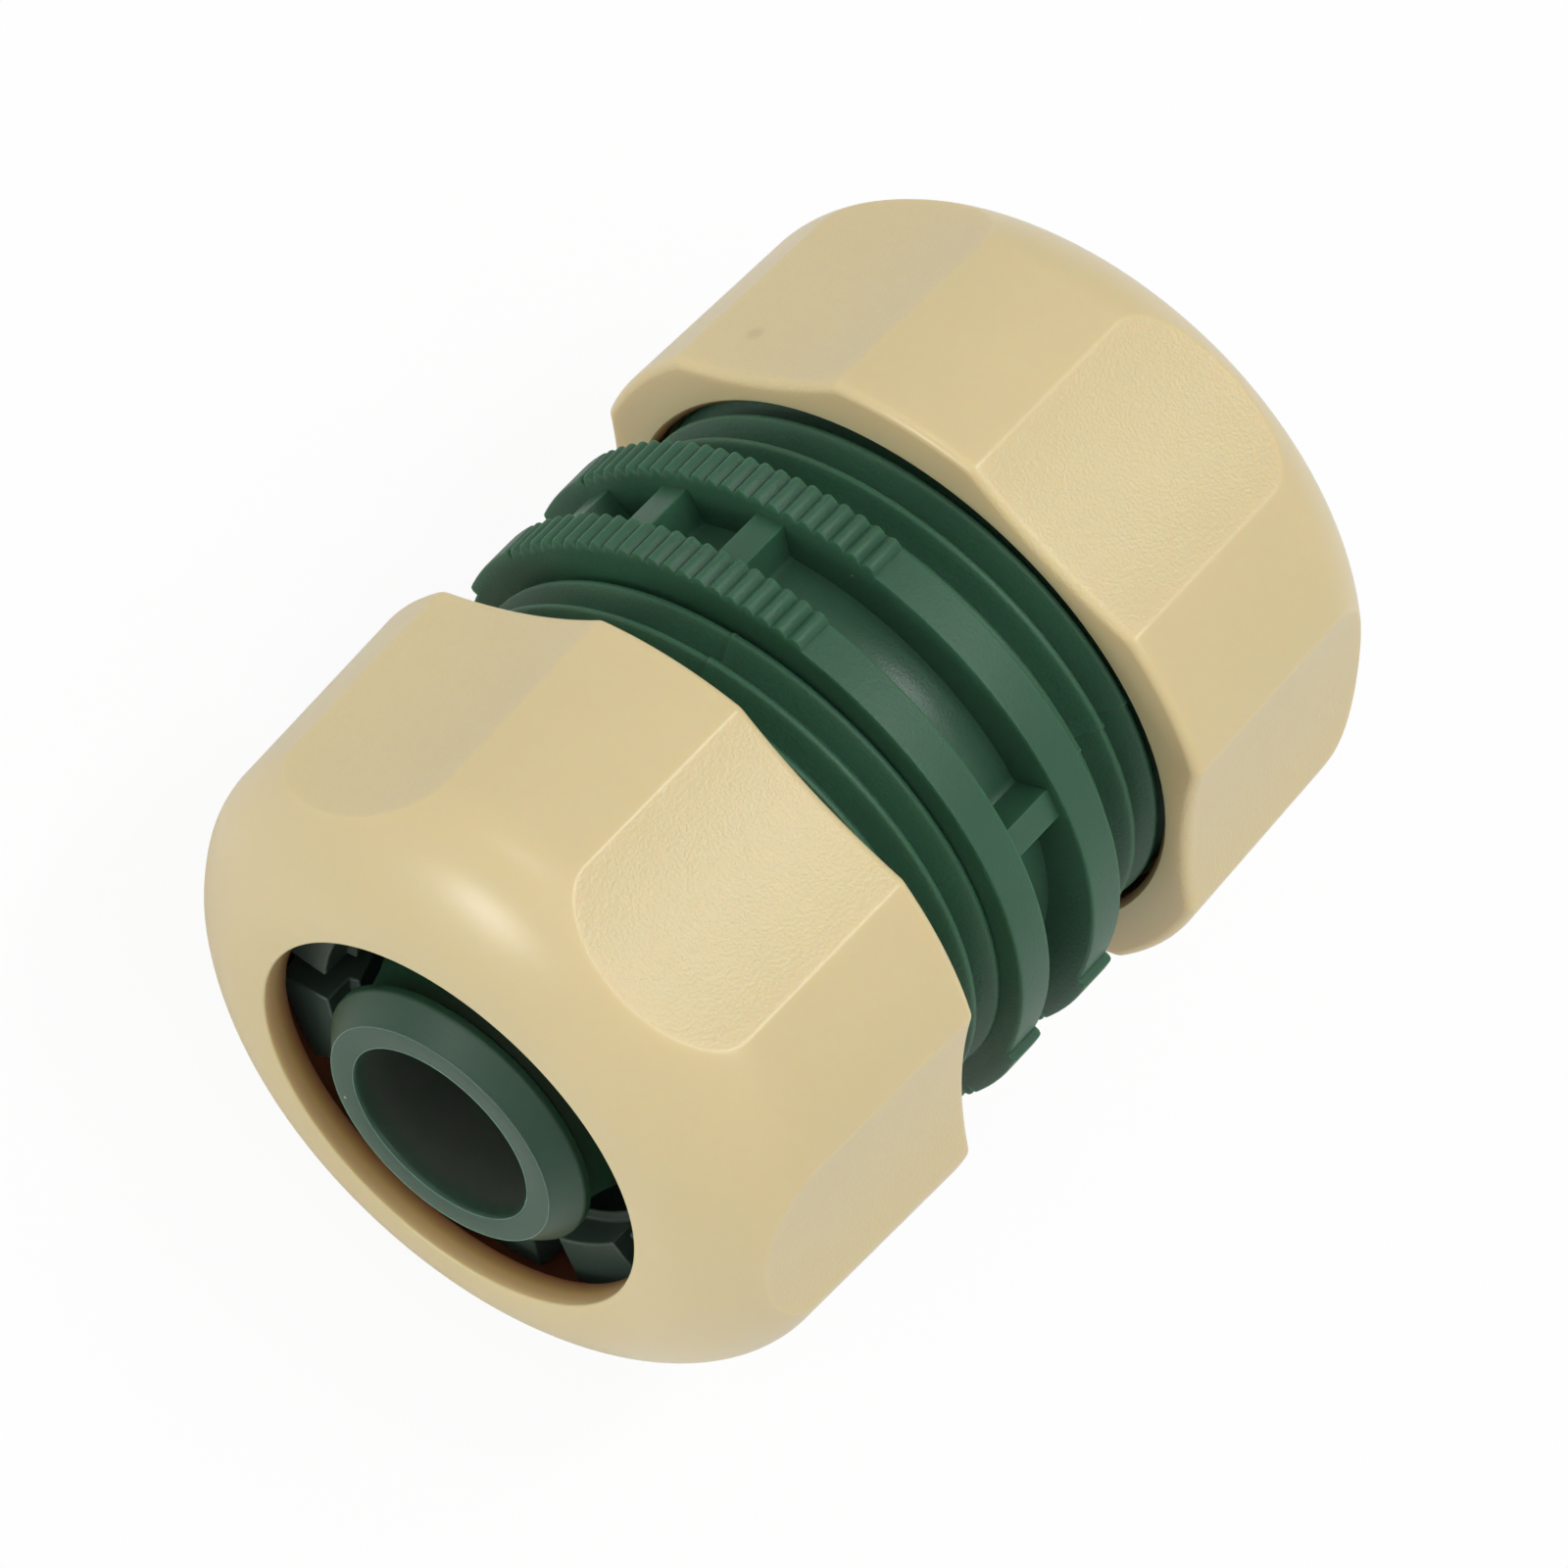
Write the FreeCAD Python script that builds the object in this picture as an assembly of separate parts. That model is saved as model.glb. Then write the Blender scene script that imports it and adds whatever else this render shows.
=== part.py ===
import FreeCAD, Part
import math
import os

# Hose mender for a garden hose of half an inch bore, in millimetres.
# The axis of the fitting is X, and +Z is up: it lies on one finger hollow of each nut.
# The origin is the middle of the fitting, on its axis.

# Spigots, which the two hose ends are pushed on
half_length = 24.5
bore_radius = 4.75
bore_chamfer = 0.3
spigot_wall = 1.45
tip_wall = 1.35
tip_chamfer = 0.3
barb_height = 0.85
barb_count = 3
barb_pitch = 3.3
front_barb_land = 0.5
front_barb_depth = 1.0

# Centre of the body: a web, a barrel, two flanges and the ribs between them
web_half_thickness = 1.1
barrel_radius = 13.0
flange_gap = 3.1
flange_thickness = 2.0
flange_radius = 15.5
rib_height = 1.85
rib_width = 1.4
rib_spread_deg = 20.5
mould_draw_deg = 30.0

# Knurl: a raised arc on each side of the mould, plain at first and then cut into teeth
knurl_height = 0.4
knurl_start_deg = -42.5
knurl_plain_deg = 17.5
knurl_teeth_deg = 67.3
tooth_count = 21
tooth_foot_share = 0.85
tooth_top_share = 0.4

# Threaded sleeves of the body: a right-hand V groove that runs out at the open end
sleeve_length = 7.5
sleeve_wall = 1.8
thread_crest_radius = 14.3
thread_pitch = 1.65
thread_crest_width = 0.25
thread_flank_deg = 30.0
left_thread_start = 0.4
right_thread_start = 0.7

# Nuts, both the same moulding, each screwed out by a whole number of sixths of a turn
nut_length = 15.8
nut_wall = 2.7
nut_rear_chamfer = 0.4
nut_draft_deg = 1.9
mouth_radius = 10.2
mouth_chamfer = 0.4
mouth_lip = 1.5
nut_thread_inset = 1.4
nut_thread_turns = 1.5
nut_thread_bore = 6.3
nut_thread_lead = 0.1
left_nut_sixths = 15
right_nut_sixths = 12

# Shoulder and crown of a nut, from its side round to its face, as short flats on two arcs
crown_length = 5.2
crown_depth = 0.2
shoulder_radius = 4.2
shoulder_turn_deg = 53.0
shoulder_flat_count = 4
crown_flat_count = 2

# Cone inside the nut, which the grip ring sits in
cone_rear_radius = 13.3
cone_deg = 12.5

# Finger hollows in the side of each nut
hollow_count = 6
hollow_curve_radius = 29.0
hollow_wall = 1.3

# Grip rings, one in each nut, which close on the hose as the nut is screwed in
ring_length = 6.8
ring_band_length = 2.0
ring_bore_radius = 8.9
ring_depth_in_mouth = 2.6
finger_count = 10
finger_slot = 2.0
finger_turn_deg = 14.0
grip_tooth_height = 0.5
grip_tooth_pitch = 1.6
grip_tooth_count = 2

# Clearances between pieces
flank_clearance = 0.14
crest_clearance = 0.2
ring_clearance = 0.25

# How far solids are carried into each other, or past a face, so that they join or cut cleanly
overlap = 0.2
margin = 5.0

FULL_TURN = 360.0
SIXTH = FULL_TURN / 6.0
ORIGIN = FreeCAD.Vector(0, 0, 0)
AXIS = FreeCAD.Vector(1, 0, 0)
ACROSS = FreeCAD.Vector(0, 1, 0)
UP = FreeCAD.Vector(0, 0, 1)

# Places and radii that follow from the sizes above
spigot_radius = bore_radius + spigot_wall
tip_radius = bore_radius + tip_wall
barb_radius = spigot_radius + barb_height
rib_radius = barrel_radius + rib_height
flange_outer = flange_gap / 2 + flange_thickness
sleeve_end = flange_outer + sleeve_length
flank_slope = math.tan(math.radians(thread_flank_deg))
groove_width = thread_pitch - thread_crest_width
groove_radius = thread_crest_radius - groove_width / 2 / flank_slope
sleeve_bore_radius = groove_radius - sleeve_wall
nut_bore_radius = thread_crest_radius + crest_clearance
nut_radius = nut_bore_radius + nut_wall
nut_side_length = nut_length - crown_length
draft_slope = math.tan(math.radians(nut_draft_deg))
cone_slope = math.tan(math.radians(cone_deg))


def turned(points):
    """The solid that a closed outline of (along, radius) points makes when it is turned."""
    corners = [FreeCAD.Vector(along, 0, radius) for along, radius in points]
    outline = Part.makePolygon(corners + [corners[0]])
    return Part.Face(outline).revolve(ORIGIN, AXIS, FULL_TURN)


def other_side(shape):
    """A shape of the right-hand side, turned about Z to the left-hand side."""
    turned_shape = shape.copy()
    turned_shape.rotate(ORIGIN, UP, 180)
    return turned_shape


def on_rim(radius, angle_deg):
    """A point at this radius and angle, in the plane across the axis."""
    angle = math.radians(angle_deg)
    return FreeCAD.Vector(0, radius * math.cos(angle), radius * math.sin(angle))


def rim_arc(radius, start_deg, end_deg):
    """An arc about the axis, in the plane across it."""
    middle_deg = (start_deg + end_deg) / 2
    return Part.Arc(on_rim(radius, start_deg), on_rim(radius, middle_deg), on_rim(radius, end_deg)).toShape()


def screw_sweep(section, start, turns):
    """A closed outline of (along, radius) points, carried round a right-hand helix.

    Its middle is at start, straight below the axis, where the helix begins.
    """
    corners = [FreeCAD.Vector(radius, 0, along) for along, radius in section]
    outline = Part.makePolygon(corners + [corners[0]])
    path = Part.makeLongHelix(thread_pitch, turns * thread_pitch, section[0][1])
    sweep = Part.Wire(path.Edges).makePipeShell([outline], True, True)
    sweep.rotate(ORIGIN, ACROSS, 90)
    sweep.translate(AXIS * start)
    return sweep


def half_outline():
    """Right half of the body's outline, from the bore round the spigot and sleeve to the barrel."""
    front_barb = half_length - front_barb_depth
    points = [
        (half_length - bore_chamfer, bore_radius),
        (half_length, bore_radius + bore_chamfer),
        (half_length, tip_radius - tip_chamfer),
        (half_length - tip_chamfer, tip_radius),
        (front_barb, barb_radius),
    ]
    for barb in range(barb_count):
        back = front_barb - front_barb_land - barb * barb_pitch
        points.append((back, barb_radius))
        points.append((back, spigot_radius))
    points += [
        (web_half_thickness, spigot_radius),
        (web_half_thickness, sleeve_bore_radius),
        (sleeve_end, sleeve_bore_radius),
        (sleeve_end, thread_crest_radius),
        (flange_outer - overlap, thread_crest_radius),
        (flange_outer - overlap, barrel_radius),
    ]
    return points


def body_core():
    """Spigots, web, barrel and plain sleeves as one turned solid with its bore."""
    right = half_outline()
    left = [(-along, radius) for along, radius in reversed(right)]
    return turned(right + left)


def thread_groove(first_crest):
    """What the thread takes away from the right-hand sleeve, from the flange to the open end."""
    outside = thread_crest_radius + overlap
    half_width = groove_width / 2
    half_outside = half_width + overlap * flank_slope
    section = [(0, groove_radius), (half_outside, outside), (-half_outside, outside)]
    start = flange_outer + first_crest - 2 * thread_pitch
    turns = math.ceil((sleeve_end - start) / thread_pitch) + 1
    beyond_flange = turned(
        [
            (flange_outer, groove_radius - overlap),
            (flange_outer, outside + overlap),
            (sleeve_end + margin, outside + overlap),
            (sleeve_end + margin, groove_radius - overlap),
        ]
    )
    return screw_sweep(section, start, turns).common(beyond_flange)


def knurl_edges(start_deg):
    """Edges of one side of a flange: the plain raised arc, the teeth and the smooth arc."""
    top_radius = flange_radius + knurl_height
    plain_end = start_deg + knurl_plain_deg
    pitch_deg = knurl_teeth_deg / tooth_count
    corners = [on_rim(top_radius, plain_end), on_rim(flange_radius, plain_end)]
    for tooth in range(tooth_count):
        middle_deg = plain_end + (tooth + 0.5) * pitch_deg
        foot_deg = pitch_deg * tooth_foot_share / 2
        top_deg = pitch_deg * tooth_top_share / 2
        corners.append(on_rim(flange_radius, middle_deg - foot_deg))
        corners.append(on_rim(top_radius, middle_deg - top_deg))
        corners.append(on_rim(top_radius, middle_deg + top_deg))
        corners.append(on_rim(flange_radius, middle_deg + foot_deg))
    teeth_end = middle_deg + foot_deg
    edges = [
        Part.makeLine(on_rim(flange_radius, start_deg), on_rim(top_radius, start_deg)),
        rim_arc(top_radius, start_deg, plain_end),
    ]
    edges += Part.makePolygon(corners).Edges
    edges.append(rim_arc(flange_radius, teeth_end, start_deg + FULL_TURN / 2))
    return edges


def flange(near_face):
    """A disc whose rim has two smooth and two raised and knurled arcs, from this place outward."""
    start_deg = mould_draw_deg + knurl_start_deg
    edges = knurl_edges(start_deg) + knurl_edges(start_deg + FULL_TURN / 2)
    disc = Part.Face(Part.Wire(edges)).extrude(AXIS * flange_thickness)
    middle = Part.makeCylinder(sleeve_bore_radius + overlap, flange_thickness, ORIGIN, AXIS)
    disc = disc.cut(middle)
    disc.translate(AXIS * near_face)
    return disc


def ribs():
    """Eight ribs across the barrel, three and one on each side of the mould."""
    bars = []
    for side_deg in (0, FULL_TURN / 2):
        for turn_deg in (-rib_spread_deg, 0, rib_spread_deg, FULL_TURN / 4):
            foot = barrel_radius - 2 * overlap
            bar = Part.makeBox(flange_gap + 2 * overlap, rib_width, rib_radius - foot)
            bar.translate(FreeCAD.Vector(-flange_gap / 2 - overlap, -rib_width / 2, foot))
            bar.rotate(ORIGIN, AXIS, mould_draw_deg + side_deg + turn_deg - FULL_TURN / 4)
            bars.append(bar)
    return bars


def mender_body():
    """The green body: two barbed spigots, two threaded sleeves and the knurled middle."""
    core = body_core().cut(thread_groove(right_thread_start))
    core = core.cut(other_side(thread_groove(left_thread_start)))
    flanges = [flange(flange_gap / 2), flange(-flange_outer)]
    return core.fuse(flanges + ribs()).removeSplitter()


def cone_radius(along):
    """Radius of the cone inside the nut, this far from the nut's rear face."""
    return cone_rear_radius - (along - nut_thread_bore) * cone_slope


def round_points(centre_along, centre_radius, arc_radius, start_deg, end_deg, flats):
    """Points on an arc of the nut's outline, by angles from straight outward to the mouth."""
    points = []
    for number in range(1, flats + 1):
        angle = math.radians(start_deg + (end_deg - start_deg) * number / flats)
        along = centre_along + arc_radius * math.sin(angle)
        points.append((along, centre_radius + arc_radius * math.cos(angle)))
    return points


def nut_shell():
    """Nut before its hollows and thread, with its rear face at the origin."""
    side_end_radius = nut_radius - nut_side_length * draft_slope
    lip_rear = nut_length - mouth_lip
    turn = math.radians(shoulder_turn_deg)
    shoulder_centre = side_end_radius - shoulder_radius
    crown_centre = nut_side_length - shoulder_centre * math.tan(turn)
    crown_radius = shoulder_radius + shoulder_centre / math.cos(turn)
    face_edge = nut_length - crown_depth
    crown_end = math.degrees(math.asin((face_edge - crown_centre) / crown_radius))
    points = [
        (0, nut_radius - nut_rear_chamfer),
        (nut_rear_chamfer, nut_radius - nut_rear_chamfer * draft_slope),
        (nut_side_length, side_end_radius),
    ]
    points += round_points(
        nut_side_length, shoulder_centre, shoulder_radius, 0, shoulder_turn_deg, shoulder_flat_count
    )
    points += round_points(
        crown_centre, 0, crown_radius, shoulder_turn_deg, crown_end, crown_flat_count
    )
    points += [
        (nut_length, mouth_radius + mouth_chamfer),
        (nut_length - mouth_chamfer, mouth_radius),
        (lip_rear, mouth_radius),
        (lip_rear, cone_radius(lip_rear)),
        (nut_thread_bore, cone_rear_radius),
        (nut_thread_bore, nut_bore_radius),
        (0, nut_bore_radius),
    ]
    return turned(points)


def hollow():
    """What one finger hollow takes away: a long cylinder that leans with the nut's draft."""
    cutter = Part.makeCylinder(hollow_curve_radius, nut_length + 2 * margin, AXIS * -margin, AXIS)
    floor = nut_bore_radius + hollow_wall
    cutter.translate(UP * (floor + hollow_curve_radius))
    cutter.rotate(UP * floor, ACROSS, nut_draft_deg)
    return cutter


def nut_thread():
    """Thread ridge inside a nut that is fully screwed in, a V that stands clear in the groove."""
    half_base = groove_width / 2 + crest_clearance * flank_slope - flank_clearance
    crest = nut_bore_radius - half_base / flank_slope
    buried = nut_bore_radius + overlap
    section = [
        (0, crest),
        (half_base, nut_bore_radius),
        (half_base, buried),
        (-half_base, buried),
        (-half_base, nut_bore_radius),
    ]
    pitches = math.ceil((nut_thread_inset + half_base) / thread_pitch)
    start = pitches * thread_pitch - nut_thread_lead
    return screw_sweep(section, start, nut_thread_turns)


def clamp_nut(thread_start, sixths):
    """A right-hand nut, screwed out by a number of sixths of a turn from the flange."""
    nut = nut_shell()
    for number in range(hollow_count):
        cutter = hollow()
        cutter.rotate(ORIGIN, AXIS, number * SIXTH)
        nut = nut.cut(cutter)
    nut = nut.fuse(nut_thread()).removeSplitter()
    nut.rotate(ORIGIN, AXIS, sixths * SIXTH)
    nut.translate(AXIS * nut_place(thread_start, sixths))
    return nut


def nut_place(thread_start, sixths):
    """Where the rear face of a nut lies along the axis."""
    return flange_outer + thread_start + nut_thread_lead + sixths * thread_pitch / 6


def grip_ring(thread_start, sixths):
    """A split ring in the cone of a nut, with springy fingers and grip teeth inside them."""
    front = nut_length - ring_depth_in_mouth
    rear = front - ring_length
    gap = ring_clearance / math.cos(math.radians(cone_deg))
    points = [
        (rear, ring_bore_radius),
        (rear, cone_radius(rear) - gap),
        (front, cone_radius(front) - gap),
    ]
    for tooth in range(grip_tooth_count):
        crest = front - tooth * grip_tooth_pitch
        points.append((crest, ring_bore_radius - grip_tooth_height))
        points.append((crest - grip_tooth_pitch, ring_bore_radius))
    ring = turned(points)
    slot = Part.makeBox(ring_length, finger_slot, cone_rear_radius)
    slot.translate(FreeCAD.Vector(rear + ring_band_length, -finger_slot / 2, 0))
    for number in range(finger_count):
        cutter = slot.copy()
        turn_deg = finger_turn_deg + (number + 0.5) * FULL_TURN / finger_count
        cutter.rotate(ORIGIN, AXIS, turn_deg - FULL_TURN / 4)
        ring = ring.cut(cutter)
    ring.translate(AXIS * nut_place(thread_start, sixths))
    return ring


def save(name, shape):
    """Write one piece to its own file."""
    shape.Solids[0].exportStep("parts/" + name + ".step")


os.makedirs("parts", exist_ok=True)
save("mender_body", mender_body())
save("right_nut", clamp_nut(right_thread_start, right_nut_sixths))
save("left_nut", other_side(clamp_nut(left_thread_start, left_nut_sixths)))
save("right_grip_ring", grip_ring(right_thread_start, right_nut_sixths))
save("left_grip_ring", other_side(grip_ring(left_thread_start, left_nut_sixths)))
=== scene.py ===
import math

import bmesh
import bpy
from mathutils import Matrix, Vector


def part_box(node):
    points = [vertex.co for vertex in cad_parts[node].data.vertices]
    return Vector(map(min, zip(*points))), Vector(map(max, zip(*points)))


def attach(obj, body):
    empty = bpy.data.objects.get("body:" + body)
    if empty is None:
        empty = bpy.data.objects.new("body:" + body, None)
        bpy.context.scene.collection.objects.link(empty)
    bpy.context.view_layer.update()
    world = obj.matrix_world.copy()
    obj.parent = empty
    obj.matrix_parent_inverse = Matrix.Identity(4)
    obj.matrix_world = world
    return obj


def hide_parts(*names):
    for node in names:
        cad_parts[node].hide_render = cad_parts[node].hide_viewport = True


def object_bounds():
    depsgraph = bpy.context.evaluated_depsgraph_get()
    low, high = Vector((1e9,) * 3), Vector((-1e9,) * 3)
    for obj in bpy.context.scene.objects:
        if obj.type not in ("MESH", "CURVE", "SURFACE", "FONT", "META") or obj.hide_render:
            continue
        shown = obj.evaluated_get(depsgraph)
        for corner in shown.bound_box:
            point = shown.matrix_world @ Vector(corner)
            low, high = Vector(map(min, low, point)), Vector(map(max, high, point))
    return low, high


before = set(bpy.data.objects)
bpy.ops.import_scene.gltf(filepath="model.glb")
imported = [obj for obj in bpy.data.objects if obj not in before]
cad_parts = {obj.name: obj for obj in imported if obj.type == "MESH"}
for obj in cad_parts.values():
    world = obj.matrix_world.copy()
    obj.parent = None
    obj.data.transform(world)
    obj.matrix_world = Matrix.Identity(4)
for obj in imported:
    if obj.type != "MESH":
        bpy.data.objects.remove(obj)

# The mender lies along X with its middle at the origin. Angles go round the axis, from +Y towards +Z.
mm = 0.001
cad_box = [list(corner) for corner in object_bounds()]
scene = bpy.context.scene
scene.view_settings.view_transform = "Standard"

# The camera
# The camera looks down on the front nut from a long way off, so that both nuts look nearly the same size.
# It is rolled, which puts the axis of the mender from the lower left of the frame to the upper right.
camera_right = Vector((0.6163, -0.6820, 0.3938)).normalized()
camera_look = Vector((0.4682, -0.0847, -0.8796))
camera_look = (camera_look - camera_look.dot(camera_right) * camera_right).normalized()
camera_up = camera_right.cross(camera_look)
camera_distance = 504 * mm
camera_aside = 0.312 * mm
camera_below = 0.484 * mm

camera_data = bpy.data.cameras.new("camera")
camera_data.sensor_width = 36
camera_data.lens = 263.6
camera_data.clip_start = 0.05
camera_data.clip_end = 20
camera = bpy.data.objects.new("camera", camera_data)
camera_axes = Matrix((camera_right, camera_up, -camera_look)).transposed().to_4x4()
camera_place = -camera_distance * camera_look - camera_aside * camera_right - camera_below * camera_up
camera.matrix_world = Matrix.Translation(camera_place) @ camera_axes
scene.collection.objects.link(camera)
scene.camera = camera

# The table and the lights
# A matt white table, white walls all round and six soft boxes, of which the largest is behind the camera.
# Where the camera sees the table, white is mixed in, so that it fades into the walls and keeps the shadow.
table_size = 3.0
table_height = cad_box[0][2]
table_white = 0.93
wall_light = 0.585


def link(tree, from_node, from_name, to_node, to_name):
    """Joins one socket to another, by their names."""
    tree.links.new(from_node.outputs[from_name], to_node.inputs[to_name])


def white_where_seen(tree, lit_shader, share):
    """Mixes plain white into a shader, by this share, where the camera looks straight at it."""
    path = tree.nodes.new("ShaderNodeLightPath")
    white = tree.nodes.new("ShaderNodeEmission")
    strength = tree.nodes.new("ShaderNodeMath")
    strength.operation = "MULTIPLY"
    strength.inputs[1].default_value = share
    mix = tree.nodes.new("ShaderNodeMixShader")
    link(tree, path, "Is Camera Ray", strength, 0)
    link(tree, strength, "Value", mix, "Fac")
    tree.links.new(lit_shader.outputs[0], mix.inputs[1])
    tree.links.new(white.outputs[0], mix.inputs[2])
    return mix


walls = bpy.data.worlds.new("white_walls")
walls.use_nodes = True
scene.world = walls
wall_nodes = walls.node_tree
background = wall_nodes.nodes["Background"]
background.inputs["Color"].default_value = (1, 1, 1, 1)
background.inputs["Strength"].default_value = wall_light
seen_walls = white_where_seen(wall_nodes, background, 1.0)
wall_nodes.links.new(seen_walls.outputs[0], wall_nodes.nodes["World Output"].inputs["Surface"])

table_mesh = bpy.data.meshes.new("table")
half = table_size / 2
table_corners = [(-half, -half, 0), (half, -half, 0), (half, half, 0), (-half, half, 0)]
table_mesh.from_pydata(table_corners, [], [(0, 1, 2, 3)])
table = bpy.data.objects.new("table", table_mesh)
table.location.z = table_height
scene.collection.objects.link(table)
table_paint = bpy.data.materials.new("white_table")
table_paint.use_nodes = True
table_nodes = table_paint.node_tree
table_base = table_nodes.nodes["Principled BSDF"]
table_base.inputs["Base Color"].default_value = (0.8, 0.8, 0.8, 1)
table_base.inputs["Roughness"].default_value = 0.9
seen_table = white_where_seen(table_nodes, table_base, table_white)
table_nodes.links.new(seen_table.outputs[0], table_nodes.nodes["Material Output"].inputs["Surface"])
table_mesh.materials.append(table_paint)


def soft_box(name, direction, distance, width, height, watts):
    """A soft box that faces the mender from this direction."""
    lamp = bpy.data.lights.new(name, "AREA")
    lamp.shape = "RECTANGLE"
    lamp.size = width
    lamp.size_y = height
    lamp.energy = watts
    box = bpy.data.objects.new(name, lamp)
    away = Vector(direction).normalized()
    box.location = away * distance
    box.rotation_euler = away.to_track_quat("Z", "Y").to_euler()
    scene.collection.objects.link(box)


soft_box("front_box", (-0.45, 0.05, 0.89), distance=0.9, width=1.0, height=1.0, watts=1.5)
soft_box("left_box", (-0.91, 0.41, 0.14), distance=0.7, width=0.20, height=0.14, watts=1.1)
soft_box("top_box", (0.42, -0.06, 0.90), distance=0.7, width=0.10, height=0.14, watts=0.7)
soft_box("sky_box", (0.16, -0.10, 0.98), distance=0.7, width=0.10, height=0.14, watts=0.9)
soft_box("back_box", (-0.29, 0.66, 0.70), distance=0.7, width=0.10, height=0.10, watts=0.2)
soft_box("right_box", (-0.10, -0.45, 0.89), distance=0.7, width=0.20, height=0.20, watts=0.5)

# Spigots and web
# The middle of the green moulding: a tube open at both ends, with barbs that hold the hose, and a web round
# its middle that carries the sleeves. It is moulded in one shot with them, in nylon or polypropylene.
body_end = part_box("mender_body")[1].x
bore_radius = 4.75 * mm
root_radius = 6.2 * mm
barb_radius = 7.05 * mm
tip_radius = 6.05 * mm
barb_count = 3
barb_pitch = 3.3 * mm
barb_depth = 1.25 * mm
web_half = 1.1 * mm
sleeve_bore = 11.29 * mm
round_steps = 96
same_point = 0.0004 * mm
sharp_edge = 34
# The spigots' green is a darker copy of the green of the rest of the moulding, a painted shade.
spigot_painted_shade_green = (0.013, 0.056, 0.028)
# The end faces are painted a lighter green than the rest of the spigot, a painted light.
end_face_painted_light_green = (0.025, 0.068, 0.040)
# The bore is painted a dull grey-green that grows with depth, a painted shade.
bore_painted_shade_green = (0.055, 0.068, 0.052)
green_glow = (0.15, 1.0, 0.35)
fleck_size = 0.08 * mm
fleck_colour = (0.4, 0.45, 0.4)


def place(side, along, radius, degrees):
    """A point this far out from the middle, at a radius and an angle; side -1 is the left-hand end."""
    turn = math.radians(degrees)
    return (side * along, side * radius * math.cos(turn), radius * math.sin(turn))


def skin(name, rows, seam=False, shares=None):
    """A closed skin over rows of points, where each row goes once round the axis.

    With a seam, the ends of a row aren't joined. Shares are named numbers for each point, and a material
    reads them.
    """
    count = len(rows[0])
    faces = []
    for row in range(len(rows)):
        here = row * count
        after = (row + 1) % len(rows) * count
        for column in range(count - 1 if seam else count):
            beside = (column + 1) % count
            faces.append((here + column, here + beside, after + beside, after + column))
    mesh = bpy.data.meshes.new(name)
    mesh.from_pydata([point for row in rows for point in row], [], faces)
    for share_name, values in (shares or {}).items():
        mesh.attributes.new(share_name, "FLOAT", "POINT").data.foreach_set("value", values)
    shell = bmesh.new()
    shell.from_mesh(mesh)
    bmesh.ops.remove_doubles(shell, verts=shell.verts, dist=same_point)
    bmesh.ops.dissolve_degenerate(shell, edges=shell.edges, dist=same_point)
    bmesh.ops.recalc_face_normals(shell, faces=shell.faces)
    shell.to_mesh(mesh)
    shell.free()
    mesh.shade_smooth()
    mesh.set_sharp_from_angle(angle=math.radians(sharp_edge))
    piece = bpy.data.objects.new(name, mesh)
    scene.collection.objects.link(piece)
    smooth = piece.modifiers.new("even_shading", "WEIGHTED_NORMAL")
    smooth.keep_sharp = True
    return piece


def turned(name, side, outline, shares=None):
    """A closed skin made by turning an outline of (along, radius) points about the axis."""
    angles = [360 * step / round_steps for step in range(round_steps)]
    rows = [[place(side, along, radius, angle) for angle in angles] for along, radius in outline]
    return skin(name, rows, shares=shares)


def plastic(name, colour, roughness, mottle, grain_size, grain_height, glow_depth, glow_colour):
    """A moulded plastic, with slow changes of shade, the mould's grain and light that soaks through."""
    gloss_change = 0.02
    paint = bpy.data.materials.new(name)
    paint.use_nodes = True
    tree = paint.node_tree
    shader = tree.nodes["Principled BSDF"]
    shader.inputs["Subsurface Weight"].default_value = 0.5
    shader.inputs["Subsurface Radius"].default_value = glow_colour
    shader.inputs["Subsurface Scale"].default_value = glow_depth
    where = tree.nodes.new("ShaderNodeTexCoord")
    clouds = tree.nodes.new("ShaderNodeTexNoise")
    clouds.inputs["Scale"].default_value = 160
    clouds.inputs["Detail"].default_value = 1
    shades = tree.nodes.new("ShaderNodeValToRGB")
    shades.color_ramp.elements[0].position = 0.1
    shades.color_ramp.elements[0].color = tuple(part * (1 - mottle) for part in colour) + (1,)
    shades.color_ramp.elements[1].position = 0.9
    shades.color_ramp.elements[1].color = tuple(part * (1 + mottle) for part in colour) + (1,)
    gloss = tree.nodes.new("ShaderNodeMapRange")
    gloss.inputs["To Min"].default_value = roughness - gloss_change
    gloss.inputs["To Max"].default_value = roughness + gloss_change
    grain = tree.nodes.new("ShaderNodeTexNoise")
    grain.inputs["Scale"].default_value = 1 / grain_size
    grain.inputs["Detail"].default_value = 3
    bump = tree.nodes.new("ShaderNodeBump")
    bump.inputs["Distance"].default_value = grain_height
    link(tree, where, "Object", clouds, "Vector")
    link(tree, where, "Object", grain, "Vector")
    link(tree, clouds, "Fac", shades, "Fac")
    link(tree, clouds, "Fac", gloss, "Value")
    link(tree, shades, "Color", shader, "Base Color")
    link(tree, gloss, "Result", shader, "Roughness")
    link(tree, grain, "Fac", bump, "Height")
    link(tree, bump, "Normal", shader, "Normal")
    return paint


def named_share(tree, name):
    """A node that reads one of the shares that a skin's points carry."""
    share = tree.nodes.new("ShaderNodeAttribute")
    share.attribute_name = name
    return share


def mixed_colour(tree, share, share_name, colour):
    """Mixes a plain colour over the one that the plastic has, where the share is 1."""
    shader = tree.nodes["Principled BSDF"]
    below = shader.inputs["Base Color"].links[0].from_socket
    mix = tree.nodes.new("ShaderNodeMix")
    mix.data_type = "RGBA"
    # A mix has sockets of each kind, and these are the ones for colours
    first_colour, second_colour, mixed = mix.inputs[6], mix.inputs[7], mix.outputs[2]
    second_colour.default_value = colour + (1,)
    tree.links.new(share.outputs[share_name], mix.inputs[0])
    tree.links.new(below, first_colour)
    tree.links.new(mixed, shader.inputs["Base Color"])


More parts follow.
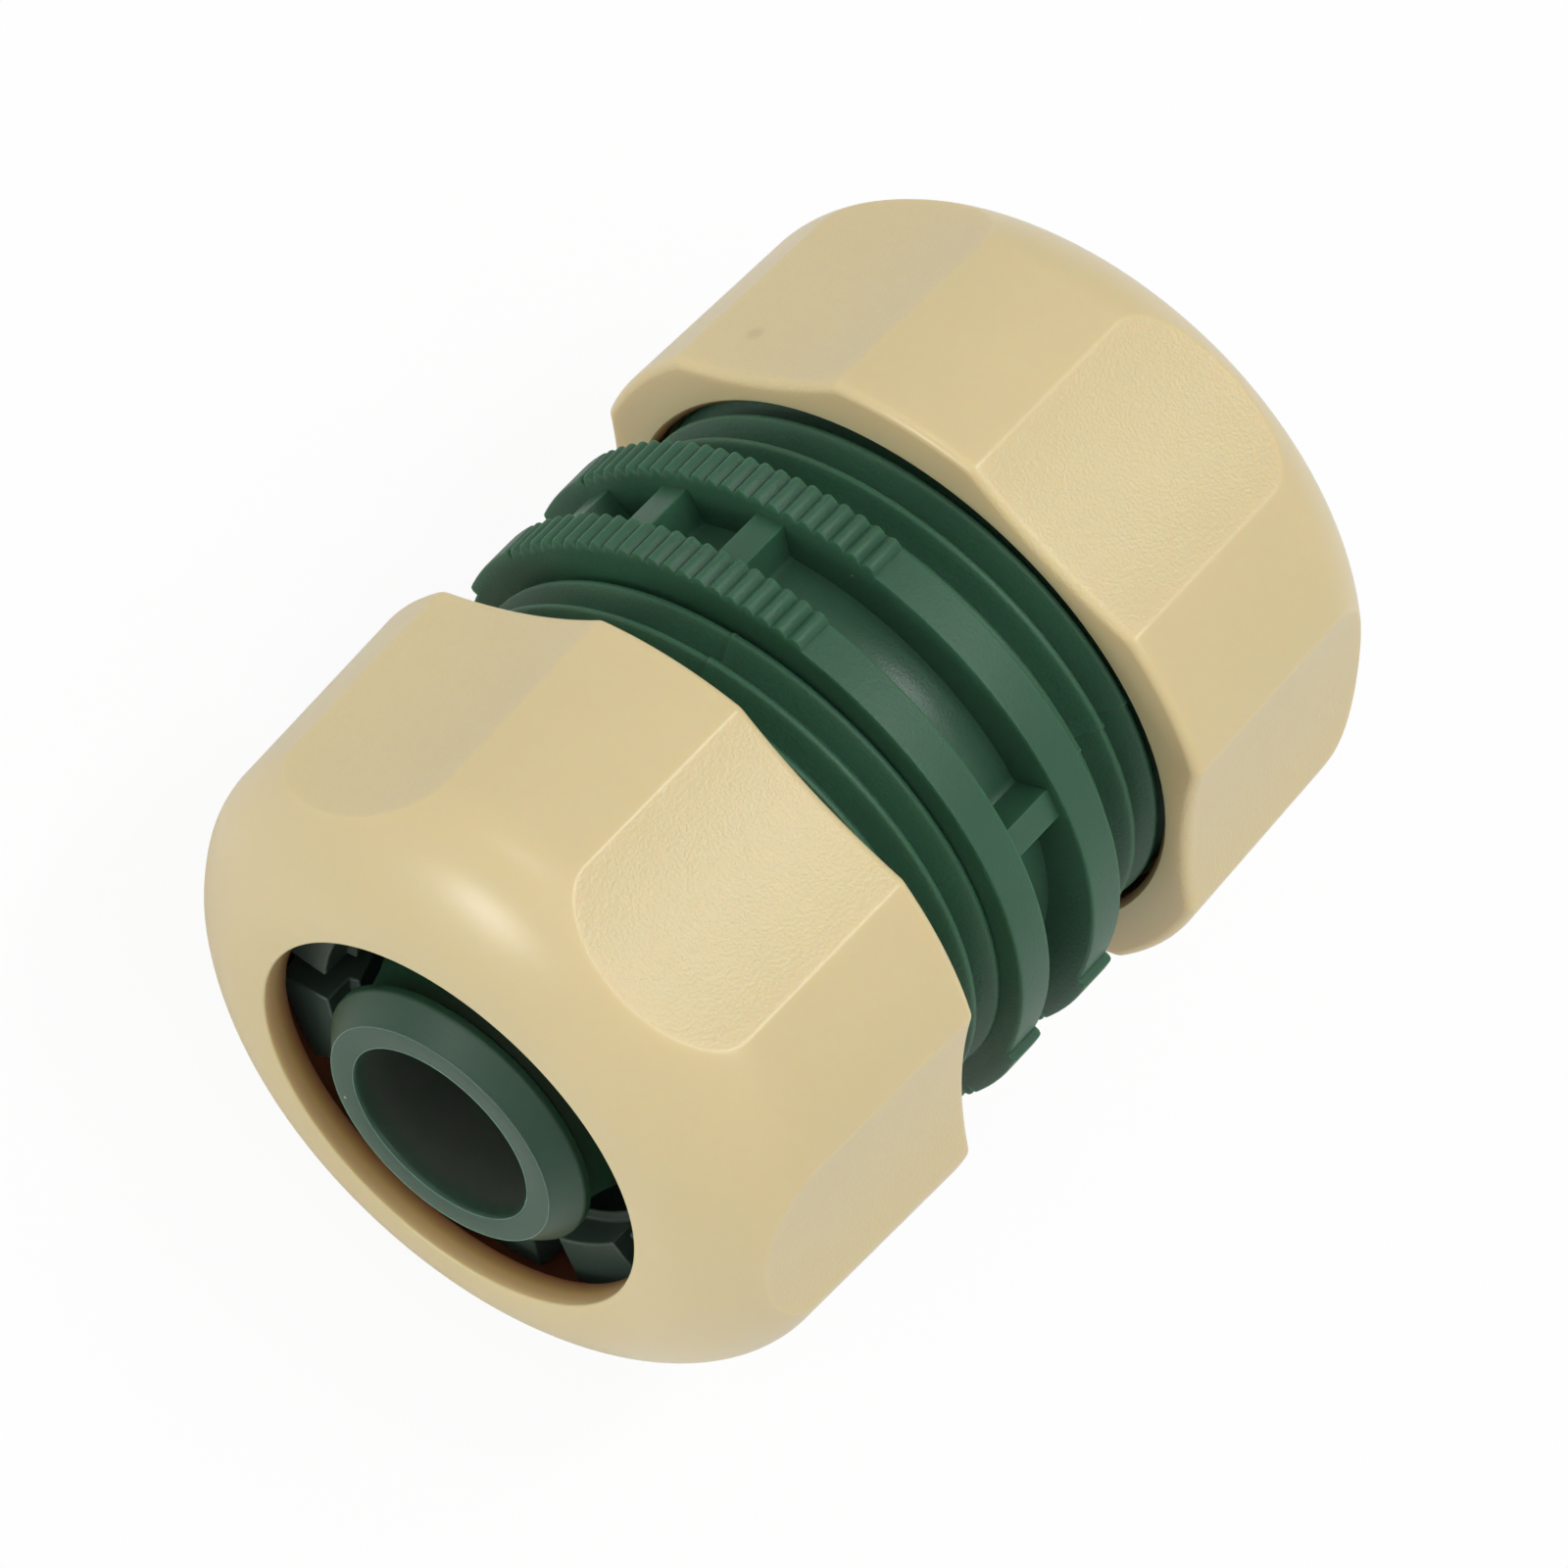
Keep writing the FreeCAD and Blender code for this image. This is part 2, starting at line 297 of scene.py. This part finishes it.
def add_flecks(tree):
    """Strews a few tiny pale flecks over a plastic, where the mould has chipped it or dust has stuck."""
    cells_in_a_metre = 300
    where = tree.nodes.new("ShaderNodeTexCoord")
    cells = tree.nodes.new("ShaderNodeTexVoronoi")
    cells.inputs["Scale"].default_value = cells_in_a_metre
    cells.inputs["Randomness"].default_value = 1
    fleck = tree.nodes.new("ShaderNodeMapRange")
    fleck.inputs["From Min"].default_value = fleck_size * cells_in_a_metre
    fleck.inputs["From Max"].default_value = fleck_size * cells_in_a_metre * 2 / 3
    link(tree, where, "Object", cells, "Vector")
    link(tree, cells, "Distance", fleck, "Value")
    mixed_colour(tree, fleck, "Result", fleck_colour)


def spigot_outline():
    """Right half of the outline of the tube: bore, flat end face with crisp edges, barbs and web."""
    crest = body_end - barb_depth
    points = [
        (body_end - 3.0 * mm, bore_radius),
        (body_end - 1.2 * mm, bore_radius),
        (body_end - 0.6 * mm, bore_radius),
        (body_end - 0.3 * mm, bore_radius),
        (body_end - 0.12 * mm, bore_radius + 0.03 * mm),
        (body_end - 0.03 * mm, bore_radius + 0.09 * mm),
        (body_end, bore_radius + 0.16 * mm),
        (body_end, tip_radius - 0.14 * mm),
        (body_end - 0.02 * mm, tip_radius - 0.05 * mm),
        (body_end - 0.1 * mm, tip_radius),
    ]
    for barb in range(barb_count):
        back = crest - barb * barb_pitch
        points += [
            (back + 0.12 * mm, barb_radius - 0.1 * mm),
            (back + 0.03 * mm, barb_radius - 0.03 * mm),
            (back - 0.08 * mm, barb_radius),
            (back - 0.35 * mm, barb_radius),
            (back - 0.45 * mm, barb_radius - 0.1 * mm),
            (back - 0.5 * mm, root_radius + 0.1 * mm),
            (back - 0.6 * mm, root_radius),
        ]
    points += [(web_half + 0.2 * mm, root_radius), (web_half, root_radius + 0.2 * mm)]
    points += [(web_half, sleeve_bore + 0.3 * mm)]
    return points


right_half = spigot_outline()
tube = right_half + [(-along, radius) for along, radius in reversed(right_half)]
in_bore = []
end_face_painted_light = []
for along, radius in tube:
    depth = body_end - abs(along) - 0.1 * mm if radius < bore_radius + 0.01 * mm else 0
    in_bore += [min(max(depth / mm, 0), 1)] * round_steps
    end_face_painted_light += [1 if abs(along) > body_end - 0.01 * mm else 0] * round_steps
spigots = turned("spigots", 1, tube, shares={"inside": in_bore, "end_face_painted_light": end_face_painted_light})
# The spigot plastic is darker than the rest of the moulding, a painted shade.
spigot_painted_shade_plastic = plastic("spigot_painted_shade_plastic", spigot_painted_shade_green, roughness=0.42, mottle=0.10, grain_size=0.13 * mm,
                         grain_height=0.006 * mm, glow_depth=1.2 * mm, glow_colour=green_glow)
spigot_nodes = spigot_painted_shade_plastic.node_tree
# Painted light: the end faces are mixed to a lighter green than the rest of the spigot.
mixed_colour(spigot_nodes, named_share(spigot_nodes, "end_face_painted_light"), "Fac", end_face_painted_light_green)
# Painted shade: the bore is mixed to a dull grey-green, more so the deeper it goes.
mixed_colour(spigot_nodes, named_share(spigot_nodes, "inside"), "Fac", bore_painted_shade_green)
add_flecks(spigot_nodes)
spigots.data.materials.append(spigot_painted_shade_plastic)
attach(spigots, "mender")
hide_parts("mender_body")

# A thin flash line stands on both edges of each end face, where the core pin and the mould plate met.
pale_glow = (0.3, 1.0, 0.5)
# The flash lines' pale green is a painted highlight, which makes them show as bright rings.
flash_painted_highlight_green = (0.10, 0.20, 0.14)
flash_painted_highlight_plastic = plastic("flash_painted_highlight_plastic", flash_painted_highlight_green, roughness=0.4, mottle=0.1, grain_size=0.13 * mm,
                        grain_height=0.004 * mm, glow_depth=1.0 * mm, glow_colour=pale_glow)
tip_edge = tip_radius - 0.04 * mm
bore_edge = bore_radius + 0.07 * mm
for side, name, edge in ((1, "right_tip_flash", tip_edge), (-1, "left_tip_flash", tip_edge),
                         (1, "right_bore_flash", bore_edge), (-1, "left_bore_flash", bore_edge)):
    flash_rows = []
    for along, across in [(-0.08, -0.02), (-0.005, -0.02), (0.005, 0), (-0.005, 0.02), (-0.08, 0.02)]:
        flash_rows.append((body_end + along * mm, edge + across * mm))
    flash = turned(name, side, flash_rows)
    flash.data.materials.append(flash_painted_highlight_plastic)
    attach(flash, "mender")
    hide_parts("mender_body")

# Threaded sleeves
# A short tube of the same moulding on each side of the middle, with a coarse right-hand thread that the
# clamp nut runs on. The thread is made by two half moulds, so a fine flash line crosses it on both sides.
thread_pitch = 1.65 * mm
thread_crest = 14.3 * mm
thread_root = 13.12 * mm
thread_flat = 0.125 * mm
thread_slope = math.tan(math.radians(60))
crest_softness = 0.06 * mm
root_softness = 0.12 * mm
sleeve_end = 11.05 * mm
sleeve_end_round = 0.25 * mm
sleeve_web = 12.9 * mm
flange_outer = 3.55 * mm
thread_starts = {1: 0.7 * mm, -1: 0.4 * mm}
run_out_slope = 2.2
thread_steps = 150
parting_plane = 120
flash_height = 0.12 * mm
flash_reach = 0.5
mould_shift = 0.08 * mm
green = (0.028, 0.092, 0.051)


def eased(value, width):
    """The larger of a value and zero, with a soft corner this wide."""
    return (value + math.sqrt(value * value + width * width)) / 2


def thread_radius(offset):
    """Radius of the thread this far from the middle of its crest, with soft crest edges and root."""
    flank = thread_crest - thread_slope * eased(abs(offset) - thread_flat, crest_softness)
    return thread_root + eased(flank - thread_root, root_softness)


def threaded_sleeve(name, side):
    """One sleeve: its bore, its open end and the thread, whose rows climb one pitch in each turn."""
    # The place of the first crest is the one at the top of the sleeve, at 90 degrees
    first_crest = flange_outer + thread_starts[side]
    angles = [parting_plane + 360 * step / thread_steps for step in range(thread_steps + 1)]
    for parting in (0, 180, 360):
        angles += [parting_plane + parting + share * flash_reach for share in (-1, -0.5, 0.5, 1)]
    angles = sorted(angle for angle in angles if parting_plane <= angle <= parting_plane + 360)
    offsets = [-0.825, -0.68, -0.5, -0.3, -0.18, -0.12, -0.06, 0.06, 0.12, 0.18, 0.3, 0.5, 0.68]
    inner_outline = [
        (flange_outer - 0.6 * mm, sleeve_web),
        (web_half, sleeve_web),
        (web_half, sleeve_bore),
        (sleeve_end - sleeve_end_round, sleeve_bore),
        (sleeve_end, sleeve_bore + sleeve_end_round),
        (sleeve_end, thread_root - 0.35 * mm),
    ]
    rows = []
    for along, radius in inner_outline:
        rows.append([place(side, along, radius, angle) for angle in angles])
    helix_rows = []
    # More turns than the sleeve has, because each climbs a pitch and the rows past an end are held there
    for turn in range(-3, 7):
        for offset in offsets:
            row = []
            for angle in angles:
                middle = first_crest + thread_pitch * (turn + (angle - 90) / 360)
                along = middle + offset * mm
                held = min(max(along, flange_outer - 0.3 * mm), sleeve_end)
                # Distance from the nearest crest, which still counts where the row is held at an end
                nearest = (held - middle + thread_pitch / 2) % thread_pitch - thread_pitch / 2
                from_parting = abs((angle - parting_plane + 90) % 180 - 90)
                flash = flash_height * max(1 - from_parting / flash_reach, 0)
                halves = mould_shift if (angle - parting_plane) % 360 < 180 else 0
                run_out = thread_root + 0.1 * mm + (sleeve_end - held) * run_out_slope
                radius = min(thread_radius(nearest), run_out) + flash - halves
                row.append(place(side, held, radius, angle))
            helix_rows.append(row)
    rows += reversed(helix_rows)
    return skin(name, rows, seam=True)


green_plastic = plastic("green_plastic", green, roughness=0.48, mottle=0.16, grain_size=0.16 * mm,
                        grain_height=0.024 * mm, glow_depth=1.2 * mm, glow_colour=green_glow)
green_plastic.node_tree.nodes["Principled BSDF"].inputs["Specular IOR Level"].default_value = 0.36
add_flecks(green_plastic.node_tree)
for side, name in ((1, "right_sleeve"), (-1, "left_sleeve")):
    sleeve = threaded_sleeve(name, side)
    sleeve.data.materials.append(green_plastic)
    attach(sleeve, "mender")
    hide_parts("mender_body")

# Flanges
# Two thin discs of the same moulding, which a hand holds while the nuts are screwed in. On two sides the
# rim is raised and cut into rounded teeth for grip. The other two are smooth, where the mould halves part.
flange_inner = 1.55 * mm
smooth_rim = 15.5 * mm
raised_rim = 15.9 * mm
raised_start = -12.5
teeth_start = 5.0
teeth_end = 72.3
tooth_count = 21
tooth_steps = 10
smooth_steps = 36
flange_edge = 0.16 * mm
flange_depth = 3.0 * mm


def rim_points():
    """(angle, radius) pairs round the rim of a flange, closer together on the teeth."""
    tooth = (teeth_end - teeth_start) / tooth_count
    raised = raised_rim - smooth_rim
    half_turn = [(raised_start - 0.15, smooth_rim), (raised_start, smooth_rim + 0.05 * mm)]
    half_turn += [(raised_start + 0.05, raised_rim - 0.06 * mm), (raised_start + 0.3, raised_rim)]
    half_turn += [(raised_start + 1 + 2.5 * step, raised_rim) for step in range(7)]
    half_turn += [(teeth_start - 0.5, raised_rim), (teeth_start - 0.15, raised_rim - 0.06 * mm)]
    for number in range(tooth_count):
        for step in range(tooth_steps):
            share = step / tooth_steps
            height = 0.15 + 0.85 * math.sin(math.pi * share) ** 1.1
            half_turn.append((teeth_start + (number + share) * tooth, smooth_rim + raised * height))
    smooth_arc = 180 + raised_start - teeth_end
    for step in range(smooth_steps):
        half_turn.append((teeth_end + smooth_arc * step / smooth_steps, smooth_rim))
    return half_turn + [(angle + 180, radius) for angle, radius in half_turn]


def flange(name, near, far):
    """One disc between two places along the axis, with softened edges."""
    rim = rim_points()
    half_outline = [
        (0, flange_depth),
        (0, flange_edge + 0.5 * mm),
        (0, flange_edge + 0.46 * mm),
        (0, flange_edge),
        (0.3 * flange_edge, 0.3 * flange_edge),
        (flange_edge, 0),
    ]
    outline = [(near + inward, drop) for inward, drop in half_outline]
    outline += [(far - inward, drop) for inward, drop in reversed(half_outline)]
    rows = []
    for along, drop in outline:
        # The faces are round inside the teeth
        on_face = drop > flange_edge + 0.1 * mm
        tops = [(angle, raised_rim if on_face else radius) for angle, radius in rim]
        rows.append([place(1, along, top - drop, angle) for angle, top in tops])
    return skin(name, rows)


for name, near, far in (("right_flange", flange_inner, flange_outer),
                        ("left_flange", -flange_outer, -flange_inner)):
    disc = flange(name, near, far)
    disc.data.materials.append(green_plastic)
    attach(disc, "mender")
    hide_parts("mender_body")

# Barrel and ribs
# The barrel between the flanges, again of the same moulding, with eight square ribs across it that stiffen
# the flanges. They stand in two like sets, each of three side by side and one a quarter of a turn on.
barrel_radius = 13.0 * mm
rib_top = 14.93 * mm
rib_half = 0.77 * mm
rib_clear = 1.2 * mm
rib_angles = [7.5, 29.2, 50.9, 121.5, 187.5, 209.2, 230.9, 301.5]


def barrel_points():
    """(angle, radius) pairs round the barrel, with the section of each rib."""
    # The round at a rib's foot and its side, in mm out from the side and up from the barrel
    foot = [(0.3, 0), (0.16, 0.01), (0.06, 0.06), (0.01, 0.2), (0, 1.0)]
    section = [(-rib_half - out * mm, barrel_radius + up * mm) for out, up in foot]
    section += [(-rib_half, rib_top - 0.1 * mm), (0.03 * mm - rib_half, rib_top - 0.03 * mm)]
    section += [(0.1 * mm - rib_half, rib_top)]
    section += [(-across, height) for across, height in reversed(section)]
    edge = math.degrees(rib_clear / barrel_radius)
    points = []
    for middle, following in zip(rib_angles, rib_angles[1:] + [rib_angles[0] + 360]):
        for across, height in section:
            up = height if height > barrel_radius else math.sqrt(height ** 2 - across ** 2)
            points.append((middle + math.degrees(math.atan2(across, up)), math.hypot(across, up)))
        between = following - middle - 2 * edge
        steps = round((following - middle) / 3)
        points += [(middle + edge + between * step / steps, barrel_radius) for step in range(steps + 1)]
    return points


barrel_ring = barrel_points()
barrel_half = flange_inner + 0.3 * mm
barrel_bore = sleeve_bore + 0.3 * mm
barrel_rows = []
for along in (-barrel_half, barrel_half):
    barrel_rows.append([place(1, along, radius, angle) for angle, radius in barrel_ring])
for along in (barrel_half, -barrel_half):
    barrel_rows.append([place(1, along, barrel_bore, angle) for angle, radius in barrel_ring])
barrel_plastic = plastic("barrel_plastic", green, roughness=0.36, mottle=0.10, grain_size=0.14 * mm,
                         grain_height=0.016 * mm, glow_depth=1.2 * mm, glow_colour=green_glow)
barrel = skin("barrel", barrel_rows)
barrel.data.materials.append(barrel_plastic)
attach(barrel, "mender")
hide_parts("mender_body")

# Grip rings
# A split ring of darker green plastic inside each nut, moulded in one with its ten springy fingers. They
# slide on the nut's cone and close on the hose, and a small tooth inside each bites into it. The ring turns
# freely in the nut.
ring_length = 6.8 * mm
ring_band = 2.0 * mm
ring_bore = 8.9 * mm
ring_middle = 10.2 * mm
ring_slope = math.tan(math.radians(12.5))
ring_softness = 0.1 * mm
finger_count = 10
finger_steps = 8
slot_steps = 6
finger_slot = 2.0 * mm
finger_turn = 14.0
tooth_height = 0.5 * mm
tooth_back = 1.6 * mm
ring_green = (0.045, 0.07, 0.054)
ring_plastic = plastic("ring_plastic", ring_green, roughness=0.42, mottle=0.08, grain_size=0.15 * mm,
                       grain_height=0.004 * mm, glow_depth=0.6 * mm, glow_colour=pale_glow)


def ring_block(verts, faces, side, front, outline, middle, half, steps):
    """Adds one closed block of the ring: an outline carried half its angle to each side of its middle."""
    first = len(verts)
    count = len(outline)
    for step in range(steps + 1):
        angle = middle - half + 2 * half * step / steps
        verts += [place(side, front - back, radius, angle) for back, radius in outline]
    for step in range(steps):
        for corner in range(count):
            beside = (corner + 1) % count
            here = first + step * count
            faces.append((here + corner, here + beside, here + count + beside, here + count + corner))
    faces.append([first + corner for corner in range(count)])
    faces.append([first + steps * count + corner for corner in range(count)])


def grip_ring(name, side, node):
    """One grip ring, whose place comes from the solid."""
    low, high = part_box(node)
    front = max(abs(low.x), abs(high.x))
    rear_radius = high.z
    finger = [
        (0, rear_radius - ring_length * ring_slope),
        (ring_length, rear_radius),
        (ring_length, ring_bore),
        (2 * tooth_back, ring_bore),
        (tooth_back, ring_bore - tooth_height),
        (tooth_back - 0.1 * mm, ring_bore),
        (0, ring_bore),
    ]
    band = [
        (ring_length - ring_band, rear_radius - ring_band * ring_slope),
        (ring_length, rear_radius),
        (ring_length, ring_bore),
        (ring_length - ring_band, ring_bore),
    ]
    slot_half = math.degrees(finger_slot / 2 / ring_middle)
    finger_half = 180 / finger_count - slot_half
    # The band runs a little way into the fingers on both sides of each slot
    band_half = slot_half + 0.3
    verts = []
    faces = []
    for number in range(finger_count):
        middle = finger_turn + number * 360 / finger_count
        ring_block(verts, faces, side, front, finger, middle, finger_half, finger_steps)
    for number in range(finger_count):
        middle = finger_turn + (number + 0.5) * 360 / finger_count
        ring_block(verts, faces, side, front, band, middle, band_half, slot_steps)
    mesh = bpy.data.meshes.new(name)
    mesh.from_pydata(verts, [], faces)
    shell = bmesh.new()
    shell.from_mesh(mesh)
    bmesh.ops.recalc_face_normals(shell, faces=shell.faces)
    shell.to_mesh(mesh)
    shell.free()
    ring = bpy.data.objects.new(name, mesh)
    scene.collection.objects.link(ring)
    bevel = ring.modifiers.new("soft_edges", "BEVEL")
    bevel.width = ring_softness
    bevel.segments = 2
    bevel.limit_method = "ANGLE"
    bevel.angle_limit = math.radians(35)
    mesh.shade_smooth()
    mesh.set_sharp_from_angle(angle=math.radians(40))
    mesh.materials.append(ring_plastic)
    return ring


for side, node, body in ((1, "right_grip_ring", "right_ring"), (-1, "left_grip_ring", "left_ring")):
    ring = grip_ring(node + "_fingers", side, node)
    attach(ring, body)
    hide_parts(node)

# Clamp nuts
# Two like cream nuts in moulded ABS, screwed onto the sleeves. Six hollows for the fingers run in from the
# rear and end in an arch on the round shoulder. The lands between them are smooth, and the hollows have the
# fine grain of a spark-cut mould.
nut_length = 15.8 * mm
land_radius = 17.2 * mm
draft = math.tan(math.radians(1.9))
rear_round = 0.5 * mm
shoulder_start = 10.45 * mm
shoulder_foot = 2.85 * mm
shoulder_length = 7.0 * mm
arch_near = 13.0 * mm
arch_far = 13.9 * mm
face_start = 15.2 * mm
mouth_radius = 10.2 * mm
mouth_round = 0.12 * mm
mouth_lip = 1.5 * mm
nut_bore = 14.5 * mm
nut_bore_depth = 6.3 * mm
nut_bore_chamfer = 0.3 * mm
cone_rear = 13.3 * mm
cone_slope = math.tan(math.radians(12.5))
hollow_floor = 15.98 * mm
hollow_curve = 29.0 * mm
hollow_turn = 90.0
edge_softness = 0.08 * mm
edge_reach = 0.6
least_edge = 9.0
grain_fade = 0.1 * mm
hollow_roughness = 0.05
nut_cream = (0.61, 0.505, 0.28)
# The mouth's wall is painted ochre near the lip as a painted glow, and dark brown deeper in as a painted
# shade.
lip_painted_glow_ochre = (0.56, 0.37, 0.13)
inside_painted_shade_brown = (0.24, 0.08, 0.035)
cream_glow = (1.0, 0.5, 0.2)
mark_brown = (0.40, 0.30, 0.16)
mark_radius = 0.3 * mm
mark_share = 0.35
pin_marks = [place(1, 10.55 * mm, 16.0 * mm, 20.5), place(-1, 11.08 * mm, 16.0 * mm, 200.5)]


def land(along):
    """Radius of a land, this far from the rear face of the nut."""
    if along <= shoulder_start:
        return land_radius - along * draft
    share = (along - shoulder_start) / shoulder_length
    rise = land_radius - shoulder_start * draft - shoulder_foot
    return shoulder_foot + rise * math.sqrt(1 - share * share)


def hollow(along, degrees):
    """Radius of a hollow's surface at an angle from its middle."""
    centre = hollow_floor - along * draft + hollow_curve
    across = centre * math.sin(math.radians(degrees))
    return centre * math.cos(math.radians(degrees)) - math.sqrt(hollow_curve ** 2 - across ** 2)


def soft_least(first, second, softness):
    """The smaller of two radii, with a rounded edge where they are alike."""
    near = max(softness - abs(first - second), 0)
    return min(first, second) - near * near / (4 * softness)


def edge_angle(along):
    """Half the angle that a hollow takes up, this far from the rear face."""
    centre = hollow_floor - along * draft + hollow_curve
    radius = land(along)
    share = (centre ** 2 + radius ** 2 - hollow_curve ** 2) / (2 * centre * radius)
    return math.degrees(math.acos(share)) if share < 1 else 0.0


def sixth_angles(along):
    """Angles across one sixth of the nut from the middle of a hollow, close together at its edges."""
    edge = max(edge_angle(along), least_edge)
    fine = [-edge_reach, -0.35, -0.2, -0.12, -0.05, 0, 0.05, 0.12, 0.2, 0.35, edge_reach]
    inside = [(edge - edge_reach) * step / 8 for step in range(8)]
    beside = [edge + edge_reach + (30 - edge - edge_reach) * step / 7 for step in range(1, 8)]
    right = inside + [edge + nudge for nudge in fine] + beside
    left = [-angle for angle in reversed(right[1:-1])]
    return left + right


def nut_rows():
    """(along, drop) for each row of the outside, from the rear face to the mouth."""
    rows = []
    for step in range(6, -1, -1):
        turn = math.radians(90 * step / 6)
        rows.append((rear_round * (1 - math.sin(turn)), rear_round * (1 - math.cos(turn))))
    # The rows are closest together where the arch ends a hollow
    for start, end, steps in ((rear_round, shoulder_start, 10), (shoulder_start, arch_near, 24),
                              (arch_near, arch_far, 24), (arch_far, face_start, 16)):
        rows += [(start + (end - start) * step / steps, 0) for step in range(1, steps + 1)]
    return rows


def nut_rear(node):
    """Distance of a nut's rear face from the middle of the mender, from the solid."""
    low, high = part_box(node)
    return min(abs(low.x), abs(high.x))


def clamp_nut(name, side, rear):
    """One nut, whose rear face is this far out."""
    rows = []
    grain = []
    for along, drop in nut_rows():
        row = []
        for sixth in range(6):
            for angle in sixth_angles(along):
                outside = land(along)
                floor = hollow(along, angle)
                radius = soft_least(outside, floor, edge_softness) - drop
                row.append(place(side, rear + along, radius, hollow_turn + sixth * 60 + angle))
                grain.append(min(max((outside - floor) / grain_fade, 0), 1))
        rows.append(row)
    lip = [0] * len(grain)
    inside = [0] * len(grain)
    end_angles = []
    for sixth in range(6):
        end_angles += [hollow_turn + sixth * 60 + angle for angle in sixth_angles(nut_length)]
    face_radius = land(face_start)
    small_step = 0.01 * mm
    face_slope = (land(face_start - small_step) - face_radius) / small_step
    corner = face_radius - (nut_length - face_start) * face_slope
    face_edge = corner - math.hypot(nut_length - face_start, face_radius - corner)
    outline = []
    for step in range(1, 11):
        # A curve that leaves the shoulder and ends flat on the face
        share = step / 10
        near = (1 - share) ** 2
        middle = 2 * share * (1 - share)
        far = share ** 2
        along = face_start * near + nut_length * (middle + far)
        outline.append((along, face_radius * near + corner * middle + face_edge * far))
    for step in range(7):
        turn = math.radians(90 * step / 6)
        along = nut_length - mouth_round * (1 - math.cos(turn))
        outline.append((along, mouth_radius + mouth_round * (1 - math.sin(turn))))
    lip_rear = nut_length - mouth_lip
    cone_front = cone_rear - (lip_rear - nut_bore_depth) * cone_slope
    outline += [
        (nut_length - 0.4 * mm, mouth_radius),
        (nut_length - 0.75 * mm, mouth_radius),
        (nut_length - 1.1 * mm, mouth_radius),
        (lip_rear, mouth_radius),
        (lip_rear, cone_front),
        (nut_bore_depth, cone_rear),
        (nut_bore_depth, nut_bore),
        (nut_bore_chamfer, nut_bore),
        (0, nut_bore + nut_bore_chamfer),
    ]
    # The lip and inside shares carry a painted glow and a painted shade, which grow with depth into the
    # mouth.
    for along, radius in outline:
        rows.append([place(side, rear + along, radius, angle) for angle in end_angles])
        on_outside = radius > nut_bore or radius > face_edge and along > lip_rear
        on_round = along > nut_length - mouth_round - small_step
        depth = 0 if on_outside or on_round else (nut_length - along) / mouth_lip
        grain += [0] * len(end_angles)
        lip += [min(max(2 * depth - 0.2, 0), 1)] * len(end_angles)
        inside += [min(max(2 * depth - 1, 0), 1)] * len(end_angles)
    return skin(name, rows, shares={"grain": grain, "lip": lip, "inside": inside})


cream_plastic = plastic("cream_plastic", nut_cream, roughness=0.30, mottle=0.02, grain_size=0.17 * mm,
                        grain_height=0.038 * mm, glow_depth=2.0 * mm, glow_colour=cream_glow)
cream_nodes = cream_plastic.node_tree
cream_shader = cream_nodes.nodes["Principled BSDF"]
in_hollows = named_share(cream_nodes, "grain")
link(cream_nodes, in_hollows, "Fac", cream_nodes.nodes["Bump"], "Strength")
rough_hollows = cream_nodes.nodes.new("ShaderNodeMath")
rough_hollows.operation = "MULTIPLY_ADD"
rough_hollows.inputs[1].default_value = hollow_roughness
link(cream_nodes, in_hollows, "Fac", rough_hollows, 0)
cream_nodes.links.new(cream_shader.inputs["Roughness"].links[0].from_socket, rough_hollows.inputs[2])
link(cream_nodes, rough_hollows, "Value", cream_shader, "Roughness")
# One hollow of each nut has a small round mark, where a pin pushed the nut out of the mould
for mark in pin_marks:
    where = cream_nodes.nodes.new("ShaderNodeTexCoord")
    away = cream_nodes.nodes.new("ShaderNodeVectorMath")
    away.operation = "DISTANCE"
    away.inputs[1].default_value = mark
    spot = cream_nodes.nodes.new("ShaderNodeMapRange")
    spot.inputs["From Min"].default_value = mark_radius
    spot.inputs["From Max"].default_value = 2 * mark_radius
    spot.inputs["To Min"].default_value = mark_share
    spot.inputs["To Max"].default_value = 0
    link(cream_nodes, where, "Object", away, 0)
    link(cream_nodes, away, "Value", spot, "Value")
    mixed_colour(cream_nodes, spot, "Result", mark_brown)
# The wall is painted ochre at the lip, a painted glow for the light that soaks through it, and dark brown
# further in, a painted shade.
mixed_colour(cream_nodes, named_share(cream_nodes, "lip"), "Fac", lip_painted_glow_ochre)
mixed_colour(cream_nodes, named_share(cream_nodes, "inside"), "Fac", inside_painted_shade_brown)
for side, node, body in ((1, "right_nut", "right_clamp"), (-1, "left_nut", "left_clamp")):
    nut = clamp_nut(node + "_shell", side, nut_rear(node))
    nut.data.materials.append(cream_plastic)
    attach(nut, body)
    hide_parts(node)

# The thread inside each nut is a V-shaped ridge of one and a half turns, which runs in the sleeve's groove.
# It rises from the bore at one end and falls back to it at the other.
ridge_start = 1.55 * mm
ridge_turns = 1.5
ridge_half = 0.675 * mm
ridge_flat = 0.05 * mm
ridge_crest = 13.37 * mm
ridge_foot = nut_bore + 0.15 * mm
ridge_angles = {1: 270, -1: 90}
ridge_steps = 108
ridge_section = [
    (-ridge_half, ridge_foot),
    (-ridge_half, nut_bore),
    (-ridge_flat, ridge_crest),
    (ridge_flat, ridge_crest),
    (ridge_half, nut_bore),
    (ridge_half, ridge_foot),
]
for side, node, body in ((1, "right_nut", "right_clamp"), (-1, "left_nut", "left_clamp")):
    rear = nut_rear(node)
    rows = []
    for offset, radius in ridge_section:
        row = []
        for step in range(ridge_steps + 1):
            turns = ridge_turns * step / ridge_steps
            rise = min(step, ridge_steps - step, 3) / 3
            height = nut_bore + (radius - nut_bore) * rise if radius < nut_bore else radius
            along = rear + ridge_start + thread_pitch * turns + offset
            row.append(place(side, along, height, ridge_angles[side] + 360 * turns))
        rows.append(row)
    ridge = skin(node + "_thread", rows, seam=True)
    ridge.data.materials.append(cream_plastic)
    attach(ridge, body)
    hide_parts(node)
